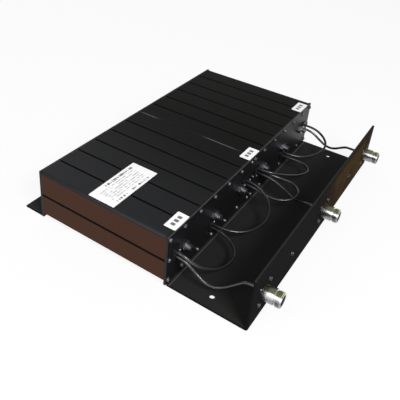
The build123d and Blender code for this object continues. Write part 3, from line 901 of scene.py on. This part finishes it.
def jack_barrel(centre_x, centre_z, nose_y, back_y, sizes):
    """Turned jack body: boss behind the flange, collar, neck, threaded nose and socket."""
    wall_y = back_y - sizes.flange_thickness - sheet_thickness
    collar_y = wall_y - sizes.collar_length
    neck_y = collar_y - sizes.neck_length
    outer = sizes.thread_radius
    soft = sizes.soft_edge
    boss_top_y, boss_rim_y, boss_foot_y = back_y + 0.3 * mm, back_y + 0.1 * mm, back_y - 0.5 * mm
    thread_end_y = nose_y + 0.5 * mm
    tip_bevel = 0.15 * mm
    rings = [
        (sizes.bead_radius, boss_top_y),
        (sizes.boss_rim_radius, boss_top_y),
        (sizes.boss_radius, boss_rim_y),
        (sizes.boss_radius, boss_foot_y),
        (outer, boss_foot_y),
        (outer, collar_y + soft),
        (outer - soft, collar_y),
        (sizes.neck_radius, collar_y),
        (sizes.neck_radius, neck_y),
        (outer - sizes.thread_bevel, neck_y),
    ]
    rings += ridge_rings(neck_y - soft, thread_end_y, sizes)
    rings += [
        (sizes.thread_root_radius, nose_y + tip_bevel),
        (sizes.thread_root_radius - tip_bevel, nose_y),
        (sizes.mouth_radius + soft, nose_y),
        (sizes.mouth_radius, nose_y + soft),
        (sizes.mouth_radius, nose_y + sizes.mouth_depth),
        (sizes.socket_radius, nose_y + sizes.mouth_depth),
        (sizes.socket_radius, nose_y + sizes.socket_depth),
        (sizes.bead_radius, nose_y + sizes.socket_depth),
    ]
    return turned(centre_x, centre_z, rings, sizes.lathe_sides)


def jack_flange(centre_x, centre_z, back_y, sizes):
    """Square flange with rounded corners, softened edges and four screw holes."""
    deselect()
    middle_y = back_y - sizes.flange_thickness / 2
    bpy.ops.mesh.primitive_cube_add(size=1, location=(centre_x, middle_y, centre_z))
    flange = bpy.context.active_object
    flange.dimensions = (sizes.flange_size, sizes.flange_thickness, sizes.flange_size)
    bpy.ops.object.transform_apply(location=False, rotation=False, scale=True)
    bpy.ops.object.mode_set(mode="EDIT")
    pick("EDGE", lambda edge: runs_along(edge, 1))
    bpy.ops.mesh.bevel(offset=sizes.flange_corner, segments=5, affect="EDGES")
    pick("EDGE", lambda edge: not runs_along(edge, 1))
    bpy.ops.mesh.bevel(offset=sizes.soft_edge, segments=2, affect="EDGES")
    close_up()
    half = sizes.flange_hole_spacing / 2
    for side in (-1, 1):
        for rise in (-1, 1):
            place = (centre_x + side * half, middle_y, centre_z + rise * half)
            deselect()
            bpy.ops.mesh.primitive_cylinder_add(
                vertices=flange_hole_sides,
                radius=sizes.flange_hole_radius,
                depth=flange_hole_depth,
                location=place,
                rotation=facing_y,
            )
            cut_away(flange, bpy.context.active_object)
    return flange


def loop_screw(sizes):
    """Round-headed slotted screw head at the origin, facing -Y."""
    deselect()
    radius, height = sizes.loop_screw_radius, sizes.loop_screw_height
    bpy.ops.mesh.primitive_cylinder_add(
        vertices=screw_head_sides,
        radius=radius,
        depth=height,
        location=(0, -height / 2, 0),
        rotation=facing_y,
    )
    head = bpy.context.active_object
    bpy.ops.object.transform_apply(location=True, rotation=True, scale=True)
    bpy.ops.object.mode_set(mode="EDIT")
    pick("EDGE", lambda edge: all(vertex.co.y < -0.99 * height for vertex in edge.verts))
    bpy.ops.mesh.bevel(offset=0.62 * height, segments=5, affect="EDGES")
    close_up()
    deselect()
    bpy.ops.mesh.primitive_cube_add(size=1, location=(0, -height, 0))
    slot = bpy.context.active_object
    slot.dimensions = (3 * radius, 0.7 * height, 0.3 * radius)
    bpy.ops.object.transform_apply(location=True, rotation=True, scale=True)
    cut_away(head, slot)
    return head


# Operators

floor_size = 8.0
floor_z = -0.0002
lamp_aim = (0.0, 0.02, 0.03)
sky_fade_rise = (0.10, 0.55)
cable_curve_steps = 10
cable_round_steps = 5


class DUPLEXER_OT_stage(bpy.types.Operator):
    """Make the floor, the lamps, the white surroundings and the camera"""

    bl_idname = "duplexer.stage"
    bl_label = "Studio"

    def execute(self, context):
        """Build the studio."""
        studio = context.scene.duplexer_studio
        self.place_camera(context.scene, studio)
        self.light(studio)
        self.surround(context.scene, studio)
        deselect()
        bpy.ops.mesh.primitive_plane_add(size=floor_size, location=(0, 0, floor_z))
        floor = context.active_object
        floor.name = "studio_floor"
        settle(floor, floor_finish(context.scene.duplexer_colours))
        context.scene.view_settings.view_transform = "Standard"
        return {"FINISHED"}

    def place_camera(self, scene, studio):
        """Stand the camera where the photograph was taken."""
        deselect()
        bpy.ops.object.camera_add()
        camera = bpy.context.active_object
        azimuth, elevation, roll = studio.azimuth, studio.elevation, studio.roll
        level = math.cos(elevation)
        ahead = Vector((
            -math.sin(azimuth) * level,
            math.cos(azimuth) * level,
            -math.sin(elevation),
        ))
        right = ahead.cross(Vector((0, 0, 1))).normalized()
        up = right.cross(ahead)
        leaning_right = math.cos(roll) * right + math.sin(roll) * up
        leaning_up = math.cos(roll) * up - math.sin(roll) * right
        turn = Matrix((leaning_right, leaning_up, -ahead)).transposed().to_4x4()
        camera.matrix_world = Matrix.Translation(studio.camera_place) @ turn
        camera.data.lens = studio.lens
        camera.data.shift_x = studio.shift_x
        camera.data.shift_y = studio.shift_y
        camera.data.clip_start = 0.01
        scene.camera = camera

    def light(self, studio):
        """Three soft lamps."""
        lamps = (
            ("key_lamp", (-0.63, -0.95, 1.08), 0.5, studio.key),
            ("side_lamp", (-1.08, 0.14, 0.87), 0.8, studio.side),
            ("rear_lamp", (0.50, 1.25, 0.95), 1.0, studio.rear),
        )
        for name, place, size, watts in lamps:
            deselect()
            turn = (Vector(lamp_aim) - Vector(place)).to_track_quat("-Z", "Y").to_euler()
            bpy.ops.object.light_add(type="AREA", location=place, rotation=turn)
            lamp = bpy.context.active_object
            lamp.name = name
            lamp.data.size = size
            lamp.data.energy = watts

    def surround(self, scene, studio):
        """Surroundings that are white near the floor and darker overhead."""
        if scene.world is None:
            scene.world = bpy.data.worlds.new("surroundings")
        scene.world.use_nodes = True
        sky = Nodes(scene.world.node_tree)
        direction = sky.node("ShaderNodeTexCoord", output="Generated")
        rise = sky.node("ShaderNodeSeparateXYZ", None, {0: direction}, 2)
        backdrop = sky.tree.nodes["Background"]
        strength = sky.ramp(rise, *sky_fade_rise, studio.horizon, studio.ceiling)
        sky.feed(backdrop.inputs["Strength"], strength)
        sky.feed(backdrop.inputs["Color"], (1.0, 1.0, 1.0))


class DUPLEXER_OT_cables(bpy.types.Operator):
    """Lay the eight coaxial cables"""

    bl_idname = "duplexer.cables"
    bl_label = "Cables"

    def execute(self, context):
        """Make each cable as one smooth curve."""
        sizes = context.scene.duplexer_sizes
        colours = context.scene.duplexer_colours
        jacket = moulded_finish("cable jacket", colours.jacket, 0.28, 0.0000025, 1.0)
        for name, route in cable_routes.items():
            curve = bpy.data.curves.new(name + "_line", "CURVE")
            curve.dimensions = "3D"
            curve.resolution_u = cable_curve_steps
            curve.bevel_depth = sizes.cable_diameter / 2
            curve.bevel_resolution = cable_round_steps
            curve.use_fill_caps = True
            spline = curve.splines.new("NURBS")
            spline.points.add(len(route) - 1)
            for point, place in zip(spline.points, route):
                point.co = (*(mm * value for value in place), 1.0)
            spline.order_u = 3
            spline.use_endpoint_u = True
            spline.use_smooth = True
            cable = bpy.data.objects.new(name + "_jacket", curve)
            context.scene.collection.objects.link(cable)
            curve.materials.append(jacket)
            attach(cable, body)
            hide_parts(name)
        return {"FINISHED"}


class DUPLEXER_OT_jacks(bpy.types.Operator):
    """Make the three threaded jacks"""

    bl_idname = "duplexer.jacks"
    bl_label = "Jacks"

    def execute(self, context):
        """Turn one jack and copy it to the other two places."""
        sizes = context.scene.duplexer_sizes
        colours = context.scene.duplexer_colours
        nickel = nickel_finish(colours)
        low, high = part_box(jack_names[0] + "_port_jack")
        centre = (low + high) / 2
        barrel = jack_barrel(centre.x, centre.z, low.y, high.y, sizes)
        flange = jack_flange(centre.x, centre.z, high.y, sizes)
        first = join([barrel, flange], jack_names[0] + "_jack_body")
        settle(first, nickel)
        for jack in jack_names:
            node = jack + "_port_jack"
            piece = first
            if jack != jack_names[0]:
                other_low, other_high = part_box(node)
                piece = first.copy()
                piece.data = first.data.copy()
                piece.name = jack + "_jack_body"
                piece.data.transform(Matrix.Translation(other_low - low))
                context.scene.collection.objects.link(piece)
            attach(piece, body)
            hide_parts(node)
        bead = moulded_finish("insulating bead", colours.bead, 0.35, 0.00001)
        gold = plated_finish("gold plate", colours.gold, 0.2)
        rubber = moulded_finish("boot rubber", colours.rubber, 0.5, 0.00003)
        for jack in jack_names:
            coat([jack + "_jack_insulator"], bead)
            coat([jack + "_jack_contact"], gold)
            coat([jack + "_cable_boot"], rubber)
        return {"FINISHED"}


class DUPLEXER_OT_loop_screws(bpy.types.Operator):
    """Put a screw head on each loop plate"""

    bl_idname = "duplexer.loop_screws"
    bl_label = "Loop screws"

    def execute(self, context):
        """Model one head and copy it to each loop plate."""
        sizes = context.scene.duplexer_sizes
        steel = nut_finish(context.scene.duplexer_colours)
        steel.name = "bright screw steel"
        first = loop_screw(sizes)
        settle(first, steel)
        for index, (direction, along, across) in enumerate(loop_screw_places):
            turn = math.radians(direction)
            centre_x = (index - (cavity_count - 1) / 2) * cavity_pitch
            x = centre_x + mm * (along * math.cos(turn) - across * math.sin(turn))
            z = tuner_height + mm * (along * math.sin(turn) + across * math.cos(turn))
            head = first.copy()
            head.data = first.data.copy()
            head.name = "loop_screw_" + str(index + 1)
            spin = Matrix.Rotation(0.7 + 1.3 * index, 4, "Y")
            head.data.transform(Matrix.Translation((x, loop_face_y, z)) @ spin)
            context.scene.collection.objects.link(head)
            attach(head, body)
        bpy.data.objects.remove(first)
        return {"FINISHED"}


class DUPLEXER_OT_housings(bpy.types.Operator):
    """Finish the housings and their plates"""

    bl_idname = "duplexer.housings"
    bl_label = "Housings"

    def execute(self, context):
        """Give the housings, plates and resonators their finishes."""
        colours = context.scene.duplexer_colours
        coat(ending("_cavity_housing"), housing_finish(colours))
        coat(ending("_front_plate") + ending("_rear_plate"), plate_finish(colours))
        coat(starting("coupling_loop_"), loop_finish(colours))
        coat(starting("resonator_"), plated_finish("silver plate", colours.silver, 0.2))
        return {"FINISHED"}


class DUPLEXER_OT_brackets(bpy.types.Operator):
    """Finish the bracket, the rear foot and the screws"""

    bl_idname = "duplexer.brackets"
    bl_label = "Brackets and screws"

    def execute(self, context):
        """Give the sheet parts and the screws their finishes."""
        colours = context.scene.duplexer_colours
        coat(["port_bracket", "rear_foot"], bracket_finish(colours))
        coat(ending("_screws"), screw_finish("blackened steel", colours.screw))
        coat(["wall_screws"], screw_finish("black painted screws", colours.wall_screw))
        return {"FINISHED"}


class DUPLEXER_OT_tuners(bpy.types.Operator):
    """Finish the tuning rods and lock nuts"""

    bl_idname = "duplexer.tuners"
    bl_label = "Tuners"

    def execute(self, context):
        """Give the rods and nuts their finishes."""
        colours = context.scene.duplexer_colours
        coat(starting("tuning_rod_"), rod_finish(colours))
        coat(starting("lock_nut_"), nut_finish(colours))
        return {"FINISHED"}


class DUPLEXER_OT_labels(bpy.types.Operator):
    """Finish the labels"""

    bl_idname = "duplexer.labels"
    bl_label = "Labels"

    def execute(self, context):
        """Give the labels their film and print."""
        colours = context.scene.duplexer_colours
        coat(["port_labels"], port_label_finish(colours))
        coat(["rating_label"], rating_label_finish(colours))
        return {"FINISHED"}


class DUPLEXER_PT_panel(bpy.types.Panel):
    """Buttons and settings of the duplexer"""

    bl_label = "Duplexer"
    bl_idname = "DUPLEXER_PT_panel"
    bl_space_type = "VIEW_3D"
    bl_region_type = "UI"
    bl_category = "Duplexer"

    def draw(self, context):
        """List the operators, then the settings."""
        for operator in operators:
            self.layout.operator(operator.bl_idname)
        scene = context.scene
        for group in (scene.duplexer_sizes, scene.duplexer_colours, scene.duplexer_studio):
            box = self.layout.box()
            for name in group.__annotations__:
                box.prop(group, name)


def starting(text):
    """Names of the CAD nodes that start with a text."""
    return sorted(name for name in nodes if name.startswith(text))


def ending(text):
    """Names of the CAD nodes that end with a text."""
    return sorted(name for name in nodes if name.endswith(text))


def coat(names, material):
    """Give CAD nodes a material."""
    if not names:
        raise RuntimeError("there is no node for " + material.name)
    for name in names:
        slots = nodes[name].data.materials
        if len(slots) == 0:
            slots.append(material)
        for index in range(len(slots)):
            slots[index] = material


operators = (
    DUPLEXER_OT_stage,
    DUPLEXER_OT_cables,
    DUPLEXER_OT_jacks,
    DUPLEXER_OT_loop_screws,
    DUPLEXER_OT_housings,
    DUPLEXER_OT_brackets,
    DUPLEXER_OT_tuners,
    DUPLEXER_OT_labels,
)
setting_groups = (DuplexerSizes, DuplexerColours, DuplexerStudio)


def register():
    """Add the classes and the scene's settings."""
    for kind in setting_groups + operators + (DUPLEXER_PT_panel,):
        bpy.utils.register_class(kind)
    bpy.types.Scene.duplexer_sizes = PointerProperty(type=DuplexerSizes)
    bpy.types.Scene.duplexer_colours = PointerProperty(type=DuplexerColours)
    bpy.types.Scene.duplexer_studio = PointerProperty(type=DuplexerStudio)


def unregister():
    """Remove the settings and the classes."""
    del bpy.types.Scene.duplexer_studio
    del bpy.types.Scene.duplexer_colours
    del bpy.types.Scene.duplexer_sizes
    for kind in reversed(setting_groups + operators + (DUPLEXER_PT_panel,)):
        bpy.utils.unregister_class(kind)


def main():
    """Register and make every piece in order."""
    register()
    bpy.ops.duplexer.stage()
    bpy.ops.duplexer.cables()
    bpy.ops.duplexer.jacks()
    bpy.ops.duplexer.loop_screws()
    bpy.ops.duplexer.housings()
    bpy.ops.duplexer.brackets()
    bpy.ops.duplexer.tuners()
    bpy.ops.duplexer.labels()


if __name__ == "__main__":
    main()
